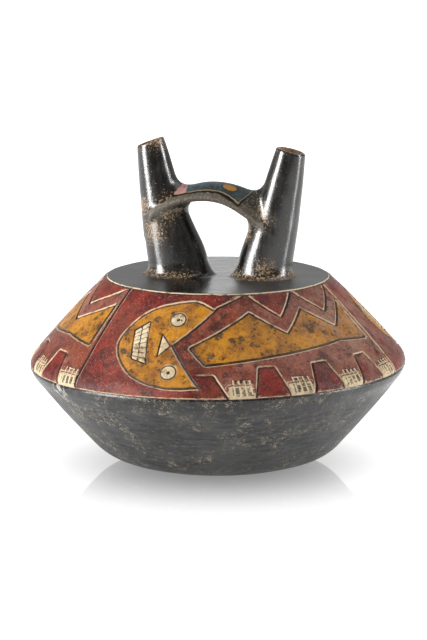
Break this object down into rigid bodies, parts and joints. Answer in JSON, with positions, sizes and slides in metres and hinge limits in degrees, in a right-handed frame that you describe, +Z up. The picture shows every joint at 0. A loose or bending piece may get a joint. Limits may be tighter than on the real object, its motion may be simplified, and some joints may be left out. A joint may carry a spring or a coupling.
{
  "type": "double spout vessel",
  "caption": "Hollow fired-clay bottle with a sharp-keeled round body, a flat top with leaning spouts joined by an arched strap, and animal figures cut into its shoulder.",
  "frame": {"origin": "middle of the flat underside, on the axis of the turned body", "axes": "+Z up along the body's axis; the spouts and the strap stand in a row along X; the painted face of the reference view looks towards -Y"},
  "size_m": [0.2208, 0.2208, 0.192],
  "materials": {
    "burnished_clay": "burnished grey-black fired clay, satin; the shoulder painted red, ochre and cream between cut lines"
  },
  "bodies": {
    "root": {"vessel": "burnished_clay"}
  },
  "joints": []
}
